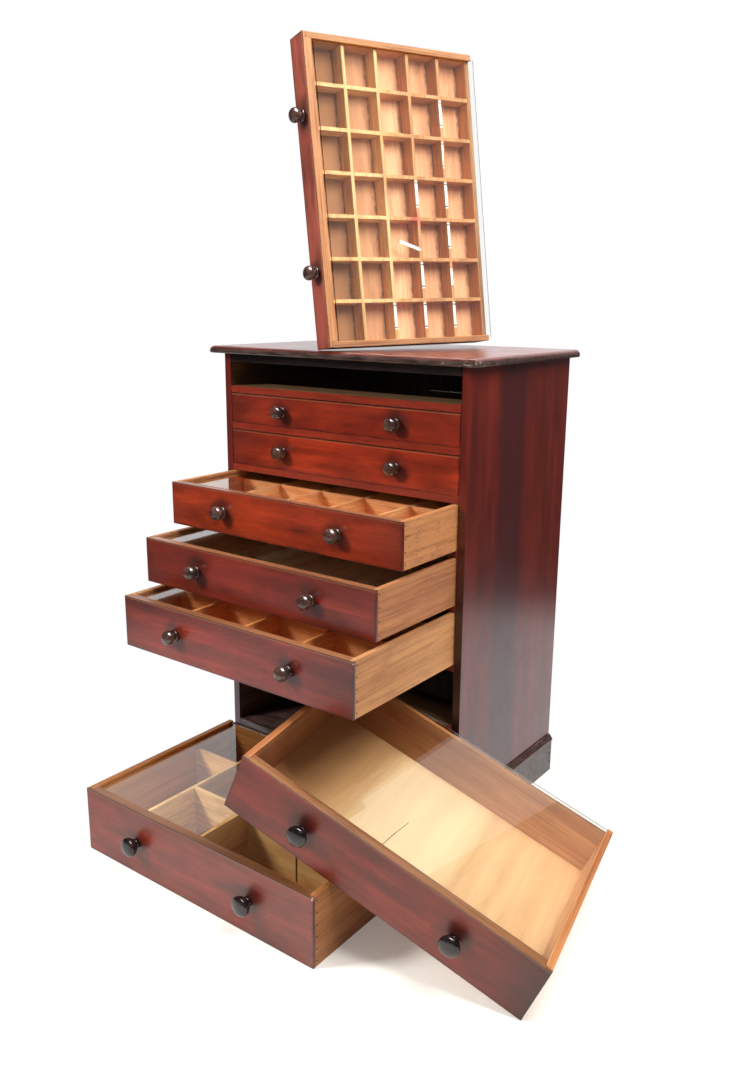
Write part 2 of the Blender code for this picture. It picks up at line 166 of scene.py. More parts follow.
tone = layered(tree, SHEET_DEEP, (fibres.outputs["Fac"], SHEET_PALE), (beyond, BOARD))
matt = add_node(tree, "BsdfDiffuse", {"Color": tone})
glow = add_node(tree, "Emission", {"Color": WHITE, "Strength": 1.0})
apart = add_node(tree, "VectorMath", {0: spot.outputs["Object"], 1: SHADOW_MIDDLE}, operation="DISTANCE")
open_floor = add_node(tree, "MapRange", {"Value": apart.outputs["Value"], "From Min": SHADOW_RADIUS,
                                         "From Max": SHADOW_RADIUS + SHADOW_EDGE, "To Min": SHADOW_GLOW})
lit = add_node(tree, "MixShader", {0: open_floor, 1: matt, 2: glow})
board = add_node(tree, "Emission", {"Color": MIRRORED_BOARD, "Strength": 1.0})
mirrored = add_node(tree, "MixShader", {0: beyond, 1: lit, 2: board})
viewed = add_node(tree, "Math", {0: ray.outputs["Is Camera Ray"], 1: ray.outputs["Is Transmission Ray"]},
                  operation="MAXIMUM")
direct = add_node(tree, "MixShader", {0: viewed, 1: matt, 2: lit})
bounced = add_node(tree, "Math", {0: ray.outputs["Is Glossy Ray"], 1: straight_light(tree, ray)},
                   operation="SUBTRACT", use_clamp=True)
surface = add_node(tree, "MixShader", {0: bounced, 1: direct, 2: mirrored})
add_node(tree, "OutputMaterial", {"Surface": surface})
sheet = bmesh.new()
bmesh.ops.create_grid(sheet, x_segments=1, y_segments=1, size=FLOOR_SIZE / 2)
bmesh.ops.translate(sheet, vec=(0.0, 0.0, -FLOOR_BELOW), verts=sheet.verts)
floor = add_mesh("paper_floor", sheet, paper)

# The room's dull walls and its ceiling with a bright panel, out of the picture. They leave the paper behind
# the cabinet open, and only reflections show them.
ROOM_PLAN = ((0.53, 1.5), (2.8, 1.5), (2.8, -3.0), (-2.8, -3.0), (-2.8, 0.4))
ROOM_HEIGHT, CLOUDS_PER_METRE = 2.8, 0.8
PANEL_MIDDLE, PANEL_RADIUS, PANEL_EDGE, PANEL_LIGHT = (0.75, 0.0, ROOM_HEIGHT), 0.90, 0.15, 26.0
WALL_DEEP, WALL_PALE = linear("#2E2A28"), linear("#4A4542")
dull, tree = empty_tree("dull_room_wall")
ray = add_node(tree, "LightPath")
spot = add_node(tree, "TexCoord")
cloud = add_node(tree, "TexNoise", {"Vector": spot.outputs["Object"], "Scale": CLOUDS_PER_METRE})
apart = add_node(tree, "VectorMath", {0: spot.outputs["Object"], 1: PANEL_MIDDLE}, operation="DISTANCE")
panel = add_node(tree, "MapRange", {"Value": apart.outputs["Value"], "From Min": PANEL_RADIUS + PANEL_EDGE,
                                    "From Max": PANEL_RADIUS})
tone = layered(tree, WALL_DEEP, (cloud.outputs["Fac"], WALL_PALE), (panel, WHITE))
strength = add_node(tree, "MapRange", {"Value": panel, "To Min": 1.0, "To Max": PANEL_LIGHT})
shade = add_node(tree, "Emission", {"Color": tone, "Strength": strength})
unseen = add_node(tree, "BsdfTransparent")
surface = add_node(tree, "MixShader", {0: straight_light(tree, ray), 1: shade, 2: unseen})
add_node(tree, "OutputMaterial", {"Surface": surface})
walls = bmesh.new()
low_line = [walls.verts.new((x, y, 0.0)) for x, y in ROOM_PLAN]
high_line = [walls.verts.new((x, y, ROOM_HEIGHT)) for x, y in ROOM_PLAN]
for corner in range(len(ROOM_PLAN) - 1):
    walls.faces.new((low_line[corner], low_line[corner + 1], high_line[corner + 1], high_line[corner]))
walls.faces.new(high_line)
room = add_mesh("dull_room", walls, dull)
room.visible_camera = room.visible_diffuse = room.visible_transmission = room.visible_shadow = False


# Carcase sides and rails
# Softwood boards, stained red-brown and varnished on the outside, with straight grain along each board.
# The sides run down to the floor. The rails between the drawers are let into them, and are bare on top.
EASED_EDGE, EASED_STEPS, WELD_DISTANCE, EDGE_ANGLE = 0.0006, 2, 0.00001, radians(40)
VARNISH_IOR, VARNISH_ROUGHNESS, WEAR_PER_METRE, RIDGE_HEIGHT = 1.5, 0.16, 28.0, 0.0003
SAMPLE_STEPS = (1.7, 0.9, 0.37)

# Length and width in metres of each kind of mark in the grain, then the shades from deep to pale.
STAIN_BANDS, STAIN_PATCHES = (0.45, 0.018), (0.10, 0.03)
GRAIN_LINES, OPEN_PORES = (0.07, 0.0022), (0.022, 0.0012)
BARE_BANDS, BARE_LINES, DUST_PATCHES, FLECKS = (0.50, 0.024), (0.12, 0.0020), (0.05, 0.016), (0.012, 0.0016)
SIDE_STAIN, SIDE_BAND = (linear("#481510"), linear("#6A2118")), linear("#3C1617")
RAIL_STAIN = linear("#6C2013"), linear("#913019")
RAIL_BARE = linear("#5E4430"), linear("#9A7A58")
PORE, FLECK, DUST = linear("#240B09"), linear("#3A2618"), linear("#7A4C2C")
INSIDE_BARE = FLECK, linear("#6E5038")
BAND_START, BAND_END, BAND_BLUR = 0.096, 0.150, 0.022
LOW_EDGE_DEPTH, LOW_EDGE_BLUR, LOW_EDGE_FROM, LOW_EDGE_FULL = 0.0006, 0.0014, 0.48, 0.34
BARE_DEPTH, BARE_BLUR, INNER_FACE, INNER_BLUR = 0.0010, 0.0020, 0.0008, 0.0012
RAIL_BARE_DEPTH, RAIL_BLUR = 0.0008, 0.0017
inner_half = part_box("rail_1")[1].x
front_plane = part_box("rail_1")[0].y


def own_place(tree, order="XYZ", matrix=Matrix(), sample=0):
    """Coordinates in a piece's own axes, in metres, with the axis that the grain follows first.

    Each sample is a different stretch of grain."""
    spot = add_node(tree, "TexCoord")
    own = add_node(tree, "Mapping", {"Vector": spot.outputs["Object"], "Location": matrix.to_translation(),
                                     "Rotation": matrix.to_euler()}, vector_type="TEXTURE")
    parts = add_node(tree, "SeparateXYZ", {"Vector": own})
    own = add_node(tree, "CombineXYZ", {axis: parts.outputs[name] for axis, name in zip("XYZ", order)})
    return add_node(tree, "VectorMath", {0: own, 1: tuple(step * sample for step in SAMPLE_STEPS)},
                    operation="ADD")


def streaks(tree, place, size, detail=3.0):
    """Noise drawn out along the first axis of place, in streaks of about this length and width in metres."""
    length, width = size
    drawn = add_node(tree, "VectorMath", {0: place, 1: (1 / length, 1 / width, 1 / width)},
                     operation="MULTIPLY")
    return add_node(tree, "TexNoise", {"Vector": drawn, "Scale": 1.0, "Detail": detail, "Roughness": 0.55})


def region(tree, strength, *limits):
    """A mask of this strength where all limits hold, each as (value, where it starts, where it is full)."""
    mask = strength
    for value, start, full in limits:
        share = add_node(tree, "MapRange", {"Value": value, "From Min": start, "From Max": full})
        mask = add_node(tree, "Math", {0: mask, 1: share}, operation="MULTIPLY")
    return mask


def band(tree, value, start, end, blur, strength=1.0):
    """A mask from start to end that fades out over this blur on both sides."""
    return region(tree, strength, (value, start - blur, start), (value, end + blur, end))


def marks(tree, place, size, faint, full, strength=1.0, detail=3.0):
    """A mask of marks of this length and width: none where their noise is faint, whole where it is full."""
    return region(tree, strength, (streaks(tree, place, size, detail), faint, full))


def stained_grain(tree, place, deep, pale, pores=0.7, patchy=0.6):
    """Red stain on straight grain: broad soft bands and patches, fine lines and open pores.

    Pores and patchy say how dark the pores and the patches are. Lines and pores, about 0.5 and 0.2 mm wide,
    are drawn at 2.2 and 1.2 mm so that they show."""
    return layered(tree, deep, (marks(tree, place, STAIN_BANDS, 0.20, 0.75), pale),
                   (marks(tree, place, STAIN_PATCHES, 0.42, 0.72, patchy), PORE),
                   (marks(tree, place, GRAIN_LINES, 0.42, 0.70, 0.8), deep),
                   (marks(tree, place, OPEN_PORES, 0.60, 0.76, pores, 1.0), PORE))


def bare_grain(tree, place, deep, pale, contrast=1.0, clear=0.72):
    """Bare softwood: soft bands and fine lines, patches browned by dust, and a few dark flecks.

    Contrast says how strong the lines, dust and flecks are, and a lower clear gives more flecks. Lines and
    flecks, about 0.5 mm wide, are drawn at 2 and 1.6 mm so that they show."""
    lines = marks(tree, place, BARE_LINES, 0.46, 0.76, 0.9 * contrast)
    tone = add_node(tree, "Math", {0: marks(tree, place, BARE_BANDS, 0.15, 0.70), 1: lines},
                    operation="SUBTRACT", use_clamp=True)
    return layered(tree, deep, (tone, pale),
                   (marks(tree, place, DUST_PATCHES, 0.50, 0.80, 0.6 * contrast), DUST),
                   (marks(tree, place, FLECKS, clear, clear + 0.12, 0.7 * contrast, 1.0), FLECK))


def finish(tree, place, colour, smooth, rough, coat=0.0, ridge=0.05):
    """The surface over a colour: its shine varies in worn patches, the grain stands out a little, and where
    there is a coat of varnish it reflects sharply on top."""
    wear = add_node(tree, "TexNoise", {"Vector": place, "Scale": WEAR_PER_METRE, "Detail": 4.0,
                                       "Roughness": 0.6})
    shine = add_node(tree, "MapRange", {"Value": wear.outputs["Fac"], "From Min": 0.30, "From Max": 0.72,
                                        "To Min": smooth, "To Max": rough})
    ridges = add_node(tree, "Bump", {"Strength": ridge, "Distance": RIDGE_HEIGHT,
                                     "Height": streaks(tree, place, GRAIN_LINES)})
    shader = add_node(tree, "BsdfPrincipled", {"Base Color": colour, "Roughness": shine, "Normal": ridges,
                                               "IOR": VARNISH_IOR, "Coat Weight": coat,
                                               "Coat Roughness": VARNISH_ROUGHNESS,
                                               "Coat IOR": VARNISH_IOR})
    add_node(tree, "OutputMaterial", {"Surface": shader})


def dress(name, material, worn=EASED_EDGE):
    """Give a CAD node its finish, and join up and round its edges by this radius where they are worn."""
    piece = nodes[name]
    piece.data.materials.clear()
    piece.data.materials.append(material)
    if worn:
        joined = piece.modifiers.new("joined", "WELD")
        joined.merge_threshold = WELD_DISTANCE
        eased = piece.modifiers.new("eased", "BEVEL")
        eased.width = worn
        eased.segments = EASED_STEPS
        eased.limit_method = "ANGLE"
        eased.angle_limit = EDGE_ANGLE


# Stained and varnished pine: dark red with a browner band where the boards of the side are joined, and
# soft reflections of the paper low down. Its front edge darkens towards the bottom; inside it is bare and
# brown.
side_pine, tree = empty_tree("stained_pine_side")
place = own_place(tree, "ZYX")
parts = add_node(tree, "SeparateXYZ", {"Vector": own_place(tree)})
joint = band(tree, parts.outputs["Y"], BAND_START, BAND_END, BAND_BLUR)
# The front edge is darker towards the bottom.
low_edge_line = front_plane + LOW_EDGE_DEPTH
darker_low = region(tree, 0.85, (parts.outputs["Y"], low_edge_line + LOW_EDGE_BLUR, low_edge_line),
               (parts.outputs["Z"], LOW_EDGE_FROM, LOW_EDGE_FULL))
across = add_node(tree, "Math", {0: parts.outputs["X"]}, operation="ABSOLUTE")
bare_line, inner_line = front_plane + BARE_DEPTH, inner_half + INNER_FACE
bare = region(tree, 1.0, (parts.outputs["Y"], bare_line, bare_line + BARE_BLUR),
              (across, inner_line + INNER_BLUR, inner_line))
inside = bare_grain(tree, own_place(tree, "YZX"), *INSIDE_BARE)
colour = layered(tree, stained_grain(tree, place, *SIDE_STAIN, 0.10), (joint, SIDE_BAND), (darker_low, PORE),
                 (bare, inside))
finish(tree, place, colour, 0.28, 0.40, 0.70)
for name in ("side_left", "side_right"):
    dress(name, side_pine)

# Stained pine rails: the varnish stops at the front edge, and the top and inside are bare, dull and brown.
rail_pine, tree = empty_tree("stained_pine_rail")
place = own_place(tree)
parts = add_node(tree, "SeparateXYZ", {"Vector": place})
bare_line = front_plane + RAIL_BARE_DEPTH
bare = region(tree, 1.0, (parts.outputs["Y"], bare_line, bare_line + RAIL_BLUR))
colour = layered(tree, stained_grain(tree, place, *RAIL_STAIN), (bare, bare_grain(tree, place, *RAIL_BARE)))
finish(tree, place, colour, 0.30, 0.50, 0.4)
for number in range(1, 8):
    dress(f"rail_{number}", rail_pine)


# Back panel
# Thin unstained softwood board, its grain upright, pinned into the sides and browned with age.
# Inside the carcase it is darker, with painted shade.
BACK_OUTER = linear("#6E4A2C"), linear("#A87C4E")
BACK_SHADED_INNER = linear("#342822"), linear("#56463E")
BACK_SKIN = 0.001
panel_low, panel_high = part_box("back_panel")

# Bare pine, dull brown with dark upright grain, and darker with painted shade on the inner face.
back_pine, tree = empty_tree("bare_pine_back")
place = own_place(tree, "ZXY")
parts = add_node(tree, "SeparateXYZ", {"Vector": place})
outer = region(tree, 1.0, (parts.outputs["Z"], panel_low.y + BACK_SKIN, panel_low.y + 2 * BACK_SKIN))
colour = layered(tree, bare_grain(tree, place, *BACK_SHADED_INNER), (outer, bare_grain(tree, place, *BACK_OUTER)))
finish(tree, place, colour, 0.55, 0.75)
dress("back_panel", back_pine)


# Top board
# One stained and varnished board, rounded over at the front and both ends and flush at the back.
# Its moulded edge is blackened, and handling has chipped it near the right-hand corner.
TOP_STAIN = linear("#4A1A14"), linear("#742C22")
BLACK_DEEP, BLACK_PALE, CHIP = linear("#221614"), linear("#4C3A35"), linear("#8A7A70")
TOP_SOOT, KNOCKS = (0.03, 0.006), (0.012, 0.004)
TOP_SKIN, TOP_BLUR = 0.0020, 0.0025
CORNER_REACH, CORNER_CHIPS, CORNER_FALL = 0.12, 0.13, 12
board_low, board_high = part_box("top_board")


def sooty_black(tree, place, size):
    """Black stain on wood, browner in streaks of this length and width."""
    return layered(tree, BLACK_DEEP, (marks(tree, place, size, 0.35, 0.65), BLACK_PALE))


def knocked_corner(tree, place, corner, reach, chips, elsewhere=0.0):
    """Where the finish is chipped off: here and there, and more often within this reach of a corner.

    Below zero, elsewhere leaves the rest whole."""
    near = add_node(tree, "VectorMath", {0: place, 1: corner}, operation="DISTANCE")
    likely = add_node(tree, "MapRange", {"Value": near.outputs["Value"], "From Min": reach,
                                         "From Max": reach / CORNER_FALL, "To Min": elsewhere,
                                         "To Max": chips})
    knocks = add_node(tree, "Math", {0: streaks(tree, place, KNOCKS), 1: likely}, operation="ADD")
    return region(tree, 0.8, (knocks, 0.70, 0.74))


# Stained and varnished pine: dull dark red on top, near black round the edge, with pale chips.
top_pine, tree = empty_tree("stained_pine_top")
place = own_place(tree)
parts = add_node(tree, "SeparateXYZ", {"Vector": place})
edge = region(tree, 1.0, (parts.outputs["Z"], board_high.z - TOP_SKIN, board_high.z - TOP_SKIN - TOP_BLUR))
front_corner = (board_high.x, board_low.y, board_high.z)
chipped = knocked_corner(tree, place, front_corner, CORNER_REACH, CORNER_CHIPS)
black = layered(tree, sooty_black(tree, place, TOP_SOOT), (chipped, CHIP))
colour = layered(tree, stained_grain(tree, place, *TOP_STAIN), (edge, black))
finish(tree, place, colour, 0.28, 0.36, 0.45, 0.02)
dress("top_board", top_pine, 0.0)


# Top rail, bottom board and plinth
# The rail under the top, the bottom board's edge and the three mitred plinth boards are softwood, blackened
# and varnished. The plinth is pinned to the carcase, and its bead is rubbed through to the red.
BEAD, BLACKEST, PLINTH_SOOT = linear("#4A2620"), linear("#0E0808"), (0.05, 0.006)
BEAD_LOW, BEAD_HIGH, BEAD_BLUR = -0.0095, -0.0070, 0.0020
BLACKEST_FROM, BLACKEST_FULL = 0.2, 0.4
plinth_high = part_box("plinth_right")[1].z

# Blackened pine: black with browner streaks and a soft shine, blackest on the rail under the top.
black_pine, tree = empty_tree("blackened_pine_moulding")
place = own_place(tree)
parts = add_node(tree, "SeparateXYZ", {"Vector": place})
rubbed = band(tree, parts.outputs["Z"], plinth_high + BEAD_LOW, plinth_high + BEAD_HIGH, BEAD_BLUR)
# Blacker higher up, on the rail under the top.
raised = region(tree, 0.8, (parts.outputs["Z"], BLACKEST_FROM, BLACKEST_FULL))
colour = layered(tree, sooty_black(tree, place, PLINTH_SOOT), (rubbed, BEAD), (raised, BLACKEST))
finish(tree, place, colour, 0.30, 0.44, 0.3)
for name in ("top_rail", "bottom_board", "plinth_front", "plinth_left", "plinth_right"):
    dress(name, black_pine)


# Drawer fronts
# A softwood board for each drawer, stained red on its face and varnished, with its edges and inside left
# bare. Hands have darkened it round the knobs, where the knobs' shadows are painted in too. It darkens
# towards its ends, has painted shade along its ends and bottom, a painted highlight and the painted shadow of
# the gap along its upper edge, and two chipped corners.
DRAWERS = range(1, 9)

# The deep and the pale shade of each drawer, by its number from the top.
FACE_STAIN = {1: ("#7C372B", "#A75646"), 2: ("#6D1D0F", "#942F16"), 3: ("#752111", "#A63517"),
              4: ("#7C2510", "#AA3A17"), 5: ("#5D1B12", "#8A2C1B"), 6: ("#611D13", "#8F2F1E"),
              7: ("#591B11", "#832B1A"), 8: ("#5B1C12", "#852E1E")}
EDGE_BARE = {1: ("#8E5C3A", "#CE9264"), 2: ("#6E3E28", "#9C6040"), 3: ("#6E3E28", "#9C6040"),
             4: ("#54301E", "#8C583C"), 5: ("#5E3A24", "#94623F"), 6: ("#5E3A24", "#966440"),
             7: ("#5C3822", "#94643E"), 8: ("#4E2E18", "#7E5030")}
GRIME_AND_SHADE, BARE_CHIP = linear("#261311"), linear("#D8BC9C")
FULL_COAT, FACE_COAT = 0.65, {6: 0.5, 7: 0.0, 8: 0.15}
HANDLED_NEAR, HANDLED_FAR, HANDLED_BLUR, HANDLED_PER_METRE = 0.006, 0.030, 0.016, 45.0
DIM_LEFT = {2: 0.45, 3: 0.45, 4: 0.35, 5: 0.30, 6: 0.40}
DIM_RIGHT = {4: 0.45, 6: 0.50, 7: 0.80}
DIM_REACH, DIM_MIDDLE = 0.090, 0.01
EDGE_SHADE_WIDTH, EDGE_SHADE_BLUR = 0.0034, 0.25
TOP_HIGHLIGHT_EDGE, GAP_SHADOW_EDGE, EDGE_BLUR = 0.0030, 0.0016, 0.0008
FACE_DEPTH, FACE_END, RUB_DEPTH, RUBS_PER_METRE = 0.0008, 0.0008, 0.0008, 160.0
CHIPPED_FRONTS, CHIP_REACH, CHIP_SHARE = (6, 8), 0.012, 0.30


def centre_of(name):
    """The middle of a node's vertices."""
    corners = [vert.co for vert in nodes[name].data.vertices]
    return sum(corners, Vector()) / len(corners)


def drawer_axes(number):
    """The drawer's own frame: x along its front, y to its back and z up, from the front's lower edge."""
    along = (centre_of(f"knob_right_{number}") - centre_of(f"knob_left_{number}")).normalized()
    upward = max(nodes[f"glass_{number}"].data.polygons, key=lambda face: face.area).normal.copy()
    if upward.dot(centre_of(f"glass_{number}") - centre_of(f"front_{number}")) < 0:
        upward.negate()
    turn = Matrix((along, upward.cross(along), upward))
    own = [turn @ vert.co for vert in nodes[f"front_{number}"].data.vertices]
    low = Vector([min(point[axis] for point in own) for axis in range(3)])
    high = Vector([max(point[axis] for point in own) for axis in range(3)])
    start = turn.transposed() @ Vector(((low.x + high.x) / 2, low.y, low.z))
    return Matrix.Translation(start) @ turn.transposed().to_4x4(), high - low


axes, front_size = {}, {}
for number in DRAWERS:
    axes[number], front_size[number] = drawer_axes(number)


def own_corner(number, name):
    """The lowest and highest corners of a drawer's node, in the drawer's own axes."""
    own = [axes[number].inverted() @ vert.co for vert in nodes[name].data.vertices]
    return [Vector([pick(point[axis] for point in own) for axis in range(3)]) for pick in (min, max)]


def front_finish(number):
    """Stained and varnished pine with bare edges: glossy red, grey round the knobs, tan where it is rubbed.

    The grey round the knobs is grime from hands, with the knobs' shadows painted in. The face darkens towards
    its ends and has painted shade along its ends and bottom. The painted highlight and the painted shadow of
    the gap along the upper edge are drawn coarser than they are so that they show."""
    material, tree = empty_tree(f"stained_pine_front_{number}")
    size = front_size[number]
    shifted = own_place(tree, "XYZ", axes[number], number)
    place = own_place(tree, "XYZ", axes[number])
    parts = add_node(tree, "SeparateXYZ", {"Vector": place})
    side = add_node(tree, "Math", {0: parts.outputs["X"]}, operation="ABSOLUTE")

    # Grey round each knob: grime from hands, with the knob's shadow painted in.
    knob_low, knob_high = own_corner(number, f"knob_right_{number}")
    knob_middle = (knob_low + knob_high) / 2
    folded = add_node(tree, "CombineXYZ", {"X": side, "Z": parts.outputs["Z"]})
    reach = add_node(tree, "VectorMath", {0: folded, 1: (knob_middle.x, 0.0, knob_middle.z)},
                     operation="DISTANCE")
    cloud = add_node(tree, "TexNoise", {"Vector": shifted, "Scale": HANDLED_PER_METRE, "Detail": 3.0})
    blur = add_node(tree, "MapRange", {"Value": cloud.outputs["Fac"], "To Min": -HANDLED_BLUR,
                                       "To Max": HANDLED_BLUR})
    reach = add_node(tree, "Math", {0: reach.outputs["Value"], 1: blur}, operation="ADD")
    grime_and_shadow = add_node(tree, "MapRange", {"Value": reach, "From Min": HANDLED_FAR, "From Max": HANDLED_NEAR,
                                        "To Max": 0.72}, interpolation_type="SMOOTHSTEP")

    # Darker towards the ends, by a share given for each end.
    dim = add_node(tree, "MapRange", {"Value": parts.outputs["X"], "From Min": -DIM_MIDDLE,
                                      "From Max": DIM_MIDDLE, "To Min": DIM_LEFT.get(number, 0.0),
                                      "To Max": DIM_RIGHT.get(number, 0.0)})
    ends = region(tree, dim, (side, size.x / 2 - DIM_REACH, size.x / 2))

    # Painted shade along the ends and the bottom edge, patchy.
    inset = add_node(tree, "Math", {0: size.x / 2, 1: side}, operation="SUBTRACT")
    inset = add_node(tree, "Math", {0: inset, 1: parts.outputs["Z"]}, operation="MINIMUM")
    patchy = add_node(tree, "Math", {0: blur, 1: EDGE_SHADE_BLUR}, operation="MULTIPLY")
    inset = add_node(tree, "Math", {0: inset, 1: patchy}, operation="ADD")
    border_shade = region(tree, 0.6, (inset, EDGE_SHADE_WIDTH, 0.0))
    # Along the upper edge a painted highlight, and on the edge itself the painted shadow of the gap.
    below = add_node(tree, "Math", {0: size.z, 1: parts.outputs["Z"]}, operation="SUBTRACT")
    worn = region(tree, 0.4, (below, TOP_HIGHLIGHT_EDGE, TOP_HIGHLIGHT_EDGE - EDGE_BLUR))
    gap = region(tree, 0.85, (below, GAP_SHADOW_EDGE, GAP_SHADOW_EDGE - EDGE_BLUR))

    rub = add_node(tree, "TexNoise", {"Vector": shifted, "Scale": RUBS_PER_METRE, "Detail": 3.0})
    ragged = add_node(tree, "MapRange", {"Value": rub.outputs["Fac"], "To Min": -RUB_DEPTH,
                                         "To Max": RUB_DEPTH})
    depth = add_node(tree, "Math", {0: parts.outputs["Y"], 1: ragged}, operation="ADD")
    bare = region(tree, 1.0, (depth, FACE_DEPTH / 2, FACE_DEPTH),
                  (side, size.x / 2 - FACE_END, size.x / 2 - 2 * FACE_END))
    deep, pale = map(linear, EDGE_BARE[number])

    face = stained_grain(tree, shifted, *map(linear, FACE_STAIN[number]), patchy=0.75)
    colour = layered(tree, face, (grime_and_shadow, GRIME_AND_SHADE), (ends, GRIME_AND_SHADE), (border_shade, GRIME_AND_SHADE), (worn, pale),
                     (gap, GRIME_AND_SHADE), (bare, bare_grain(tree, shifted, deep, pale)))
    if number in CHIPPED_FRONTS:
        corner = (size.x / 2, 0.0, size.z)
        chipped = knocked_corner(tree, place, corner, CHIP_REACH, CHIP_SHARE, -CHIP_SHARE)
        colour = layered(tree, colour, (chipped, BARE_CHIP))
    coat = add_node(tree, "MapRange", {"Value": bare, "To Min": FACE_COAT.get(number, FULL_COAT),
                                       "To Max": 0.0})
    finish(tree, shifted, colour, 0.28, 0.40, coat)
    return material


for number in DRAWERS:
    dress(f"front_{number}", front_finish(number))


# Drawer trays
# Sides, back and bottom of thin bare softwood, glued and nailed together. The grain runs from front to back,
# but from side to side in the backs and in the bottom of drawer 1, which is dusty between its strips and has
# painted shade there too. The bottom of drawer 7 has a painted pale reflection in the middle, painted shadow
# on the left and a crack. Painted light makes the inner walls of drawers 1, 7 and 8 paler, and painted shade
# darkens drawer 7's towards the left.
TRAY_BARE = {1: ("#805438", "#B68458"), 2: ("#865634", "#B07C50"), 3: ("#865634", "#B07C50"),
             4: ("#84502E", "#B07648"), 5: ("#7E4C2E", "#AA7248"), 6: ("#8C5C38", "#BA8656"),
             7: ("#7C4622", "#BA7A46"), 8: ("#74441F", "#A46C3E")}
INNER_PAINTED_LIGHT = {1: ("#B0703F", "#E2A066"), 7: ("#A86C40", "#E4AA74"), 8: ("#965A2A", "#D28C52")}
INNER_BACK, INNER_BACK_BLUR = {1: 0.0064, 7: 0.0064, 8: 0.0083}, 0.0004
FLOOR_PLAIN = "#A88464", "#C8A484"
FLOOR_BARE = {1: ("#DC966C", "#FFC296"), 4: ("#E8A268", "#FFC890"), 5: ("#D0B49C", "#ECD4C0"),
              6: ("#DC7C46", "#FA9E64"), 7: ("#CC9A66", "#E6B886"), 8: ("#DCB488", "#F6D8B4")}
FLOOR_CONTRAST, FLECKS_FROM, FEW_FLECKS = {1: 0.7, 7: 0.3, 8: 0.6}, {4: 0.62, 5: 0.66}, 0.70

# Depths in from the tray's outside, and heights above its underside, between which one face's wood gives way
# to the next.
BACK_INSIDE, BACK_OUTSIDE = 0.0076, 0.0071
WALL_OUTSIDE, WALL_INSIDE, FLOOR_OUTSIDE, FLOOR_INSIDE = 0.0070, 0.0076, 0.0078, 0.0084
FLOOR_UNDER, FLOOR_LOW, FLOOR_HIGH, FLOOR_OVER = 0.0010, 0.0020, 0.0051, 0.0056
CRACK = linear("#5A361C")
CRACK_X, CRACK_SLOPE, CRACK_END, CRACK_HALF = -0.042, 0.14, 0.158, 0.0006
CRACK_BENDS, CRACK_DRIFT = (0.02, 0.02), 0.003
PAINTED_REFLECTION, REFLECTION_FROM, REFLECTION_TO, REFLECTION_BLUR = linear("#FFE2B4"), -0.075, 0.040, 0.030
PAINTED_SHADE_BROWN, FLOOR_SHADE_START, FLOOR_SHADE_END = linear("#7E4A24"), -0.050, -0.180
WALL_PAINTED_SHADE, WALL_SHADE_START, WALL_SHADE_END = linear("#6A2C12"), 0.070, -0.110
DUST_AND_SHADE, DUSTY_START, DUSTY_END = linear("#96643F"), 0.050, 0.130
DIRT_AND_SHADE, DIRT_WIDTH, DIRT_PATCHES = linear("#4A2A16"), 0.0045, (0.010, 0.006)
DIRT_LESS, DIRT_MORE = -0.04, 0.06
CELL_COLUMNS, CELL_ROWS, STRIP_WIDTH = 7, 5, 0.0050
BELOW_GRID, GRID_DEPTH = -1.0, 10.0
grid_low, grid_high = own_corner(1, "partitions_1")
column_pitch = (grid_high.x - grid_low.x + STRIP_WIDTH) / CELL_COLUMNS
row_pitch = (grid_high.y - grid_low.y + STRIP_WIDTH) / CELL_ROWS


def cell_floors(tree, place, colour):
    """The bottom seen through drawer 1's cells: each cell a little different, darker towards the front with
    dust and painted shade, and with dirt and painted shade gathered along the strips."""
    start = add_node(tree, "VectorMath", {0: place, 1: (grid_low.x, grid_low.y, BELOW_GRID)},
                     operation="SUBTRACT")
    count = add_node(tree, "VectorMath", {0: start, 1: (column_pitch, row_pitch, GRID_DEPTH)},
                     operation="DIVIDE")
    whole = add_node(tree, "VectorMath", {0: count}, operation="FLOOR")
    chance = add_node(tree, "TexWhiteNoise", {"Vector": whole})
    parts = add_node(tree, "SeparateXYZ", {"Vector": place})
    # Darker towards the front of the drawer: dust, and painted shade from the front board.
    front_dust_and_shade = region(tree, 0.80, (parts.outputs["Y"], DUSTY_END, DUSTY_START))
    dust = add_node(tree, "MapRange", {"Value": chance.outputs["Value"], "To Max": 0.16})
    dust = add_node(tree, "Math", {0: dust, 1: front_dust_and_shade}, operation="ADD")
    within = add_node(tree, "VectorMath", {0: count}, operation="FRACTION")
    within = add_node(tree, "SeparateXYZ", {"Vector": within})
    # Dirt and painted shade where each cell's floor meets a strip.
    ragged = add_node(tree, "MapRange", {"Value": streaks(tree, place, DIRT_PATCHES), "From Min": 0.30,
                                         "From Max": 0.70, "To Min": DIRT_LESS, "To Max": DIRT_MORE})
    nearness = add_node(tree, "Math", {0: within.outputs["Y"], 1: ragged}, operation="ADD")
    strip_face = 1 - STRIP_WIDTH / row_pitch
    dirt = region(tree, 0.65, (nearness, strip_face - DIRT_WIDTH / row_pitch, strip_face))
    return layered(tree, colour, (dust, DUST_AND_SHADE), (dirt, DIRT_AND_SHADE))


def crack(tree, parts, place):
    """A crack that starts at the front of drawer 7's bottom and wanders towards its back."""
    lean = add_node(tree, "Math", {0: parts.outputs["Y"], 1: CRACK_SLOPE, 2: CRACK_X},
                    operation="MULTIPLY_ADD")
    drift = add_node(tree, "MapRange", {"Value": streaks(tree, place, CRACK_BENDS), "To Min": -CRACK_DRIFT,
                                        "To Max": CRACK_DRIFT})
    lean = add_node(tree, "Math", {0: lean, 1: drift}, operation="ADD")
    split = add_node(tree, "Math", {0: parts.outputs["X"], 1: lean, 2: CRACK_HALF}, operation="COMPARE")
    length = add_node(tree, "Math", {0: parts.outputs["Y"], 1: CRACK_END}, operation="LESS_THAN")
    return add_node(tree, "Math", {0: split, 1: length}, operation="MULTIPLY")


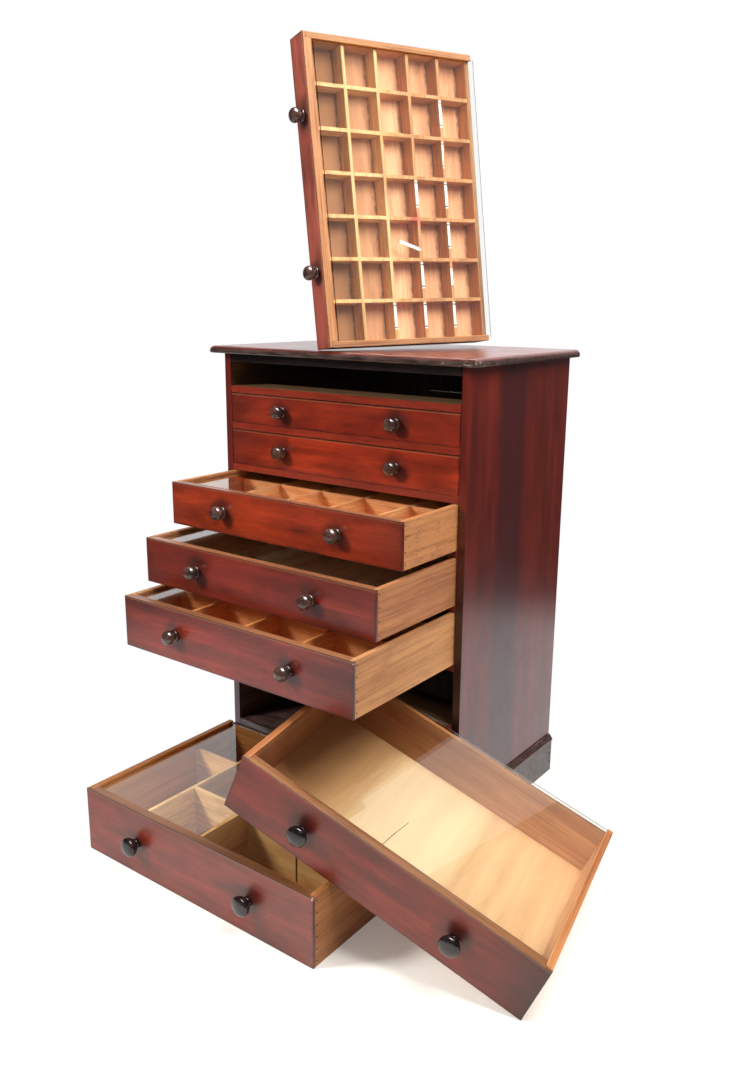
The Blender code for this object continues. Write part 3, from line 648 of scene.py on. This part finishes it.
def tray_finish(number):
    """Bare aged pine: dull tan with fine brown grain and a few flecks, paler on the bottom inside."""
    material, tree = empty_tree(f"bare_pine_tray_{number}")
    high = own_corner(number, f"tray_{number}")[1]
    place = own_place(tree, "XYZ", axes[number])
    parts = add_node(tree, "SeparateXYZ", {"Vector": place})
    side = add_node(tree, "Math", {0: parts.outputs["X"]}, operation="ABSOLUTE")
    back = region(tree, 1.0, (parts.outputs["Y"], high.y - BACK_INSIDE, high.y - BACK_OUTSIDE))
    deepwise = own_place(tree, "YXZ", axes[number], number)
    lengthwise = own_place(tree, "XYZ", axes[number], number)
    follow = add_node(tree, "Mix", {"Factor": back, "A": deepwise, "B": lengthwise}, data_type="VECTOR")
    walls = bare_grain(tree, follow, *map(linear, TRAY_BARE[number]),
                       clear=FLECKS_FROM.get(number, FEW_FLECKS))
    # In drawers 1, 7 and 8 painted light makes the inner walls paler than the outside.
    if number in INNER_PAINTED_LIGHT:
        lit_inside = bare_grain(tree, follow, *map(linear, INNER_PAINTED_LIGHT[number]), 0.5)
        # Painted shade darkens drawer 7's inner walls towards the left.
        if number == 7:
            red = region(tree, 0.75, (parts.outputs["X"], WALL_SHADE_START, WALL_SHADE_END))
            lit_inside = layered(tree, lit_inside, (red, WALL_PAINTED_SHADE))
        back_face = high.y - INNER_BACK[number]
        inner = region(tree, 1.0, (side, high.x - WALL_OUTSIDE, high.x - WALL_INSIDE),
                       (parts.outputs["Y"], back_face + INNER_BACK_BLUR, back_face - INNER_BACK_BLUR))
        walls = layered(tree, walls, (inner, lit_inside))
    bottom = bare_grain(tree, lengthwise if number == 1 else deepwise,
                        *map(linear, FLOOR_BARE.get(number, FLOOR_PLAIN)), FLOOR_CONTRAST.get(number, 1.0))
    if number == 1:
        bottom = cell_floors(tree, place, bottom)
    if number == 7:
        # A painted pale reflection across the middle of drawer 7's bottom.
        pale_reflection = band(tree, parts.outputs["X"], REFLECTION_FROM, REFLECTION_TO, REFLECTION_BLUR, 0.4)
        # Painted shadow of drawer 6 browns the left of drawer 7's bottom.
        brown = region(tree, 0.75, (parts.outputs["X"], FLOOR_SHADE_START, FLOOR_SHADE_END))
        bottom = layered(tree, bottom, (pale_reflection, PAINTED_REFLECTION), (brown, PAINTED_SHADE_BROWN),
                         (crack(tree, parts, deepwise), CRACK))
    inside = region(tree, 1.0, (side, high.x - FLOOR_OUTSIDE, high.x - FLOOR_INSIDE),
                    (parts.outputs["Z"], FLOOR_OVER, FLOOR_HIGH),
                    (parts.outputs["Z"], FLOOR_UNDER, FLOOR_LOW))
    finish(tree, follow, layered(tree, walls, (inside, bottom)), 0.50, 0.70)
    return material


for number in DRAWERS:
    dress(f"tray_{number}", tray_finish(number))


# Partitions
# Thin softwood strips, planed and left bare, halved into one another to make cells. In drawer 8 a slot in the
# long strip shows where a further strip once stood, and painted shade browns the right half. In drawer 1 the
# strips are darker towards the back, and one has red ink on it.
STRIP_BARE = {1: ("#D0945A", "#FACE92"), 4: ("#E49C62", "#FFCC90"), 6: ("#E08448", "#FFAE70"),
              8: ("#CC9255", "#F0C184")}
REAR_BARE, REAR_START, REAR_END = (linear("#AC6A3C"), linear("#D89864")), 0.120, 0.160
STRIP_SHADE_START, STRIP_SHADE_END = -0.010, 0.040
SLOT_DARK, SLOT_X, SLOT_HALF = linear("#2E1C10"), 0.0944, 0.0016
RED_INK, RED_SPOT, RED_REACH = linear("#C24A42"), (0.0285, 0.1625, 0.028), 0.016


def strip_finish(number):
    """Bare planed pine: even warm tan, with grain along each strip."""
    material, tree = empty_tree(f"bare_pine_strips_{number}")
    place = own_place(tree, "XYZ", axes[number])
    parts = add_node(tree, "SeparateXYZ", {"Vector": place})
    spot = add_node(tree, "TexCoord")
    facing = add_node(tree, "Mapping", {"Vector": spot.outputs["Normal"],
                                        "Rotation": axes[number].to_euler()}, vector_type="TEXTURE")
    facing = add_node(tree, "SeparateXYZ", {"Vector": facing})
    sideways = add_node(tree, "Math", {0: facing.outputs["X"]}, operation="ABSOLUTE")
    turned = add_node(tree, "CombineXYZ", {"X": parts.outputs["Y"], "Y": parts.outputs["X"],
                                           "Z": parts.outputs["Z"]})
    follow = add_node(tree, "Mix", {"Factor": sideways, "A": place, "B": turned}, data_type="VECTOR")
    colour = bare_grain(tree, follow, *map(linear, STRIP_BARE[number]))
    if number == 1:
        rear = region(tree, 0.8, (parts.outputs["Y"], REAR_START, REAR_END))
        apart = add_node(tree, "VectorMath", {0: place, 1: RED_SPOT}, operation="DISTANCE")
        spill = region(tree, 0.9, (apart.outputs["Value"], RED_REACH, 0.0))
        colour = layered(tree, colour, (rear, bare_grain(tree, follow, *REAR_BARE)), (spill, RED_INK))
    if number == 8:
        # Painted shade browns the right half of drawer 8's strips.
        brown = region(tree, 0.5, (parts.outputs["X"], STRIP_SHADE_START, STRIP_SHADE_END))
        slot = add_node(tree, "Math", {0: parts.outputs["X"], 1: SLOT_X, 2: SLOT_HALF}, operation="COMPARE")
        colour = layered(tree, colour, (brown, PAINTED_SHADE_BROWN), (slot, SLOT_DARK))
    finish(tree, follow, colour, 0.50, 0.70)
    return material


for number in STRIP_BARE:
    dress(f"partitions_{number}", strip_finish(number), EASED_EDGE / 2)


# Glass panes
# Thin old sheet glass that slides in the grooves of each drawer from behind.
# It is loose there, so nothing else holds it.
GLASS_IOR, GLASS_TINT, THROUGH_TINT = 1.5, linear("#FCFEFC"), linear("#FAFCFA")

# Drawn sheet glass: clear, faintly green, with sharp reflections. Shadows and bounced light pass it.
sheet_glass, tree = empty_tree("drawn_sheet_glass")
ray = add_node(tree, "LightPath")
through = add_node(tree, "Math", {0: ray.outputs["Is Shadow Ray"], 1: ray.outputs["Is Diffuse Ray"]},
                   operation="MAXIMUM")
clear = add_node(tree, "BsdfTransparent", {"Color": THROUGH_TINT})
pane = add_node(tree, "BsdfPrincipled", {"Base Color": GLASS_TINT, "Roughness": 0.0, "IOR": GLASS_IOR,
                                         "Transmission Weight": 1.0})
both = add_node(tree, "MixShader", {0: through, 1: pane, 2: clear})
add_node(tree, "OutputMaterial", {"Surface": both})
for number in DRAWERS:
    dress(f"glass_{number}", sheet_glass, 0.0)


# Knobs
# Turned hardwood knobs, stained black and polished, each with a pin glued into its drawer front.
# Drawers 1 to 6 have a small pattern with a ball head, and drawers 7 and 8 a wider one like a mushroom.
KNOB_SEAT, KNOB_SIDES, ARC_STEPS, KNOB_STREAKS = -0.0003, 48, 10, (0.030, 0.009)
BALL_KNOB = {"head": 0.0100, "dome": 0.0078, "underside": 0.0062, "neck": 0.0054, "neck_length": 0.0020,
             "collar": 0.0086, "bead": 0.0044}
MUSHROOM_KNOB = {"head": 0.0130, "dome": 0.0048, "underside": 0.0094, "neck": 0.0060, "neck_length": 0.0012,
                 "collar": 0.0068, "bead": 0.0044}
MUSHROOM_DRAWERS = (7, 8)


def turned_outline(head, dome, underside, neck, neck_length, collar, bead):
    """Radii and heights of a knob from its tip to its foot: dome, hollow underside, neck and bead."""
    rim = bead + neck_length + underside
    turns = [pi / 2 * step / ARC_STEPS for step in range(ARC_STEPS + 1)]
    outline = [(head * sin(turn), rim + dome * cos(turn)) for turn in turns]
    outline += [(neck + (head - neck) * cos(turn), rim - underside * sin(turn)) for turn in turns[1:]]
    outline += [(neck + (collar - neck) * sin(2 * turn), bead / 2 + bead / 2 * cos(2 * turn))
                for turn in turns]
    return outline


# Ebonised hardwood under polish: worn to dark brown on the ball knobs, with a soft broad shine, and still
# black and sharper on the mushroom knobs.
KNOB_FINISHES = {"brown_ebonised_hardwood": ("#261815", "#50362E", 0.28, 0.36, 0.8),
                 "black_ebonised_hardwood": ("#120D0D", "#2A2020", 0.14, 0.22, 0.0)}
polish = []
for name, (deep, pale, smooth, rough, coat) in KNOB_FINISHES.items():
    material, tree = empty_tree(name)
    place = own_place(tree, "YXZ")
    worn = marks(tree, place, KNOB_STREAKS, 0.35, 0.70, detail=1.0)
    finish(tree, place, layered(tree, linear(deep), (worn, linear(pale))), smooth, rough, coat, 0.0)
    polish.append(material)
for number in DRAWERS:
    pattern, hardwood = (MUSHROOM_KNOB, polish[1]) if number in MUSHROOM_DRAWERS else (BALL_KNOB, polish[0])
    for side, name in ((-1, f"knob_left_{number}"), (1, f"knob_right_{number}")):
        turning = bmesh.new()
        ring = [turning.verts.new((radius, 0.0, height)) for radius, height in turned_outline(**pattern)]
        wire = [turning.edges.new(pair) for pair in zip(ring, ring[1:])]
        bmesh.ops.spin(turning, geom=ring + wire, axis=(0.0, 0.0, 1.0), angle=2 * pi, steps=KNOB_SIDES)
        bmesh.ops.remove_doubles(turning, verts=turning.verts, dist=WELD_DISTANCE)
        bmesh.ops.holes_fill(turning, edges=turning.edges)
        bmesh.ops.recalc_face_normals(turning, faces=turning.faces)
        for face in turning.faces:
            face.smooth = True
        seat = Vector((side * front_size[number].x / 4, KNOB_SEAT, front_size[number].z / 2))
        bmesh.ops.transform(turning, verts=turning.verts,
                            matrix=axes[number] @ Matrix.Translation(seat) @ Matrix.Rotation(pi / 2, 4, "X"))
        knob = add_mesh(f"turned_{name}", turning, hardwood)
        knob.data.set_sharp_from_angle(angle=EDGE_ANGLE)
        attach(knob, f"drawer_{number}")
        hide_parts(name)


# Nails
# Iron nails through the drawer sides into the ends of each front, and pins through the plinth and the back
# panel into the carcase. Their slightly domed heads lie close on the wood and are rusted dark.
NAIL_RADIUS, NAIL_TIP, NAIL_RAISED, NAIL_SIDES = 0.0017, 0.6, 0.0002, 12
NAIL_FROM_FACE, NAIL_FROM_EDGE, NAIL_SPACING = 0.0078, 0.0065, 0.016
PIN_FROM_EDGE, PIN_SPACING, PLINTH_PINS = 0.0065, 0.075, (0.016, 0.032)
RUST_DEEP, RUST_PALE, RUST_PER_METRE = linear("#1E1410"), linear("#4A3023"), 900.0


def add_heads(shape, spots, outward, matrix=Matrix()):
    """Slightly domed nail heads at these spots, facing outward."""
    turn = Vector((0.0, 0.0, 1.0)).rotation_difference(outward).to_matrix().to_4x4()
    for spot in spots:
        bmesh.ops.create_cone(shape, cap_ends=True, segments=NAIL_SIDES, radius1=NAIL_RADIUS,
                              radius2=NAIL_RADIUS * NAIL_TIP, depth=2 * NAIL_RAISED,
                              matrix=matrix @ Matrix.Translation(spot) @ turn)


def spread(first, last, spacing):
    """Evenly spaced places from the first to the last, about this far apart."""
    count = max(1, round((last - first) / spacing))
    return [first + (last - first) * step / count for step in range(count + 1)]


# Rusted iron: dark brown, dull, with paler patches.
rust, tree = empty_tree("rusted_iron_nail")
place = own_place(tree)
patches = add_node(tree, "TexNoise", {"Vector": place, "Scale": RUST_PER_METRE, "Detail": 3.0})
finish(tree, place, layered(tree, RUST_DEEP, (patches.outputs["Fac"], RUST_PALE)), 0.45, 0.75)
for number in DRAWERS:
    low, high = own_corner(number, f"tray_{number}")
    heads = bmesh.new()
    for side in (-1, 1):
        heights = spread(low.z + NAIL_FROM_EDGE, front_size[number].z - NAIL_FROM_EDGE, NAIL_SPACING)
        add_heads(heads, [Vector((side * high.x, NAIL_FROM_FACE, height)) for height in heights],
                  Vector((side, 0.0, 0.0)), axes[number])
    nails = add_mesh(f"side_nails_{number}", heads, rust)
    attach(nails, f"drawer_{number}")

heads = bmesh.new()
for height in spread(panel_low.z + PIN_FROM_EDGE, panel_high.z - PIN_FROM_EDGE, PIN_SPACING):
    for edge in (panel_low.x + PIN_FROM_EDGE, panel_high.x - PIN_FROM_EDGE):
        add_heads(heads, [Vector((edge, panel_high.y, height))], Vector((0.0, 1.0, 0.0)))
for side, name in ((-1, "plinth_left"), (1, "plinth_right")):
    low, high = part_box(name)
    face = high.x if side > 0 else low.x
    add_heads(heads, [Vector((face, high.y - PIN_FROM_EDGE, height)) for height in PLINTH_PINS],
              Vector((side, 0.0, 0.0)))
pins = add_mesh("carcase_pins", heads, rust)
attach(pins, "carcase")


# Labels
# Strips of blank paper, ruled at both ends, pasted along the tops of drawer 1's lengthwise partitions.
# Some are gone, two are torn, and one has come loose at one end and curls into its cell.
LABEL_LENGTH, LABEL_WIDTH, LABEL_SHIFT, LABEL_STEPS = 0.0370, 0.0046, -0.0060, 12
LABEL_RAISED, LABEL_RIPPLE, RIPPLE_RADIANS = 0.00010, 0.00006, 9
LABEL_PLACES = {2: (7,), 3: (4, 6, 7), 4: (2, 3, 4, 5, 6, 7)}
NARROW_LABEL, TORN_LABEL = (4, 3), (4, 6)
TORN_START, TORN_SHARE = 0.22, 0.70
NARROW_EDGE, TORN_EDGE = (0.1, 0.25, 7), (0.75, 0.25, 19)
RULE_INSET, RULE_HALF, FOXING_PER_METRE = 0.0030, 0.0008, 220.0
PAPER_DEEP, PAPER_PALE, INK = linear("#EAE4D8"), linear("#FAF7F0"), linear("#2A2420")


def label_middle(strip, column):
    """The middle of a label, on the top of a lengthwise partition, in the drawer's axes."""
    return Vector((grid_low.x + (column - 0.5) * column_pitch - STRIP_WIDTH / 2 + LABEL_SHIFT,
                   grid_low.y + strip * row_pitch - STRIP_WIDTH / 2, grid_high.z + LABEL_RAISED))


def torn_edge(steps, share, swing, waves):
    """Half-widths along a torn edge, which swings about this share of the label's half-width."""
    return [LABEL_WIDTH / 2 * (share + swing * sin(waves * step)) for step in steps]


def add_strip(shape, spine, across):
    """A strip of paper along a line of points, with a half-width to each side at each point."""
    edges = [[shape.verts.new(point + Vector((0.0, reach, 0.0))) for point, reach in zip(spine, reaches)]
             for reaches in across]
    for step in range(len(spine) - 1):
        shape.faces.new((edges[0][step], edges[0][step + 1], edges[1][step + 1], edges[1][step]))


# Old rag paper: off-white and matt, browner in patches. The ruled line near each end of a pasted label is
# drawn at 1.6 mm, coarser than it is, so that it shows.
rag_paper, tree = empty_tree("old_rag_paper")
place = own_place(tree, "XYZ", axes[1])
parts = add_node(tree, "SeparateXYZ", {"Vector": place})
stain = add_node(tree, "TexNoise", {"Vector": place, "Scale": FOXING_PER_METRE, "Detail": 4.0})
along = add_node(tree, "Math", {0: parts.outputs["X"], 1: label_middle(1, 1).x - column_pitch / 2},
                 operation="SUBTRACT")
along = add_node(tree, "Math", {0: along, 1: column_pitch}, operation="FLOORED_MODULO")
along = add_node(tree, "Math", {0: along, 1: column_pitch / 2}, operation="SUBTRACT")
along = add_node(tree, "Math", {0: along}, operation="ABSOLUTE")
rule = add_node(tree, "Math", {0: along, 1: LABEL_LENGTH / 2 - RULE_INSET, 2: RULE_HALF},
                operation="COMPARE")
pasted = add_node(tree, "Math", {0: parts.outputs["Z"], 1: grid_high.z}, operation="GREATER_THAN")
rule = add_node(tree, "Math", {0: rule, 1: pasted}, operation="MULTIPLY")
colour = layered(tree, PAPER_DEEP, (stain.outputs["Fac"], PAPER_PALE), (rule, INK))
finish(tree, place, colour, 0.70, 0.85)
half = LABEL_WIDTH / 2
strips = bmesh.new()
for strip, columns in LABEL_PLACES.items():
    for column in columns:
        middle = label_middle(strip, column)
        steps = [step / LABEL_STEPS for step in range(LABEL_STEPS + 1)]
        far = [half] * len(steps)
        if (strip, column) == NARROW_LABEL:
            far = torn_edge(steps, *NARROW_EDGE)
        if (strip, column) == TORN_LABEL:
            steps = [TORN_START + TORN_SHARE * step for step in steps]
            far = torn_edge(steps, *TORN_EDGE)
        spine = [middle + Vector(((step - 0.5) * LABEL_LENGTH, 0.0,
                                  LABEL_RIPPLE * (1 + sin(RIPPLE_RADIANS * step + column))))
                 for step in steps]
        add_strip(strips, spine, ([-half] * len(steps), far))
bmesh.ops.transform(strips, verts=strips.verts, matrix=axes[1])
labels = add_mesh("paper_labels", strips, rag_paper)
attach(labels, "drawer_1")

LOOSE_COLUMN, LOOSE_STRIP, LOOSE_SHIFT, LOOSE_TURN = 5, 3, 0.021, radians(250)
LOOSE_LENGTH, LOOSE_SAG, LOOSE_STEPS = 0.044, 0.10, 4 * LABEL_STEPS
CURL_RADIUS, CURL_START = 0.0050, 0.030
start = label_middle(LOOSE_STRIP, LOOSE_COLUMN) + Vector((LOOSE_SHIFT, 0.0, 0.0))
spine = []
for step in range(LOOSE_STEPS + 1):
    length = LOOSE_LENGTH * step / LOOSE_STEPS
    turn = max(0.0, (length - CURL_START) / CURL_RADIUS)
    spine.append(Vector((min(length, CURL_START) + CURL_RADIUS * sin(turn), 0.0,
                         -LOOSE_SAG * min(length, CURL_START) - CURL_RADIUS * (1 - cos(turn)))))
strips = bmesh.new()
add_strip(strips, spine, ([-half] * len(spine), [half] * len(spine)))
bmesh.ops.transform(strips, verts=strips.verts,
                    matrix=axes[1] @ Matrix.Translation(start) @ Matrix.Rotation(LOOSE_TURN, 4, "Z"))
loose = add_mesh("loose_label", strips, rag_paper)
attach(loose, "drawer_1")
